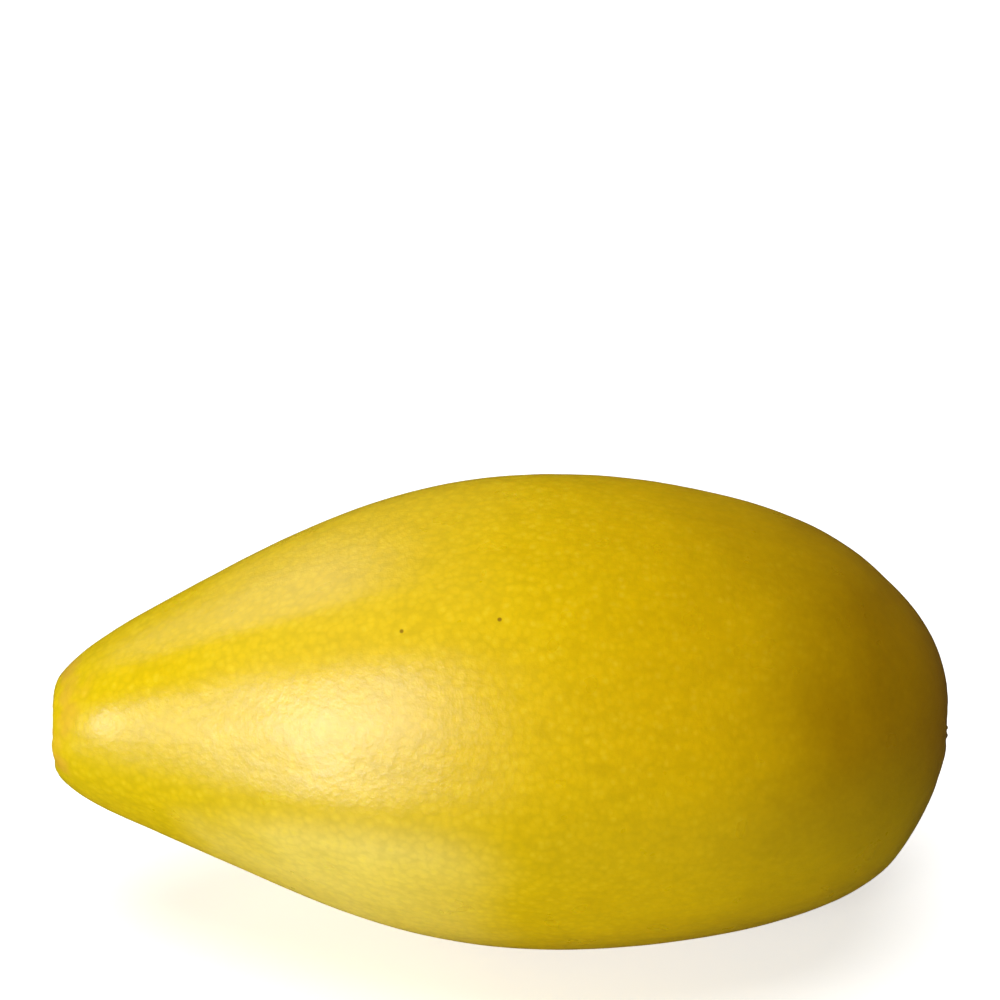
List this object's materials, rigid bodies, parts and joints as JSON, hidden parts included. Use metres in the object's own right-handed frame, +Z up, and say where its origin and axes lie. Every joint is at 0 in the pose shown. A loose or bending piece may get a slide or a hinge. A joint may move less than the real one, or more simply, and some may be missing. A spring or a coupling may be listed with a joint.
{
  "type": "passion fruit",
  "caption": "Whole yellow passion fruit, long and tapered, with a narrow flat stem end, a broad blunt blossom end and six blunt lengthwise ribs; lies on a small flat spot.",
  "frame": {"origin": "middle of the underside of the box, on the surface that the fruit rests on", "axes": "+Z up; the fruit's length lies along X, with the stem end at -X and the blossom end at +X"},
  "size_m": [0.0998, 0.0532, 0.051],
  "materials": {
    "rind": "smooth waxy yellow rind with a soft satin shine, finely mottled, greener at the stem end and amber at the blossom end, with a dull brown corky stem scar"
  },
  "bodies": {
    "root": {"passion_fruit": "rind"}
  },
  "joints": []
}
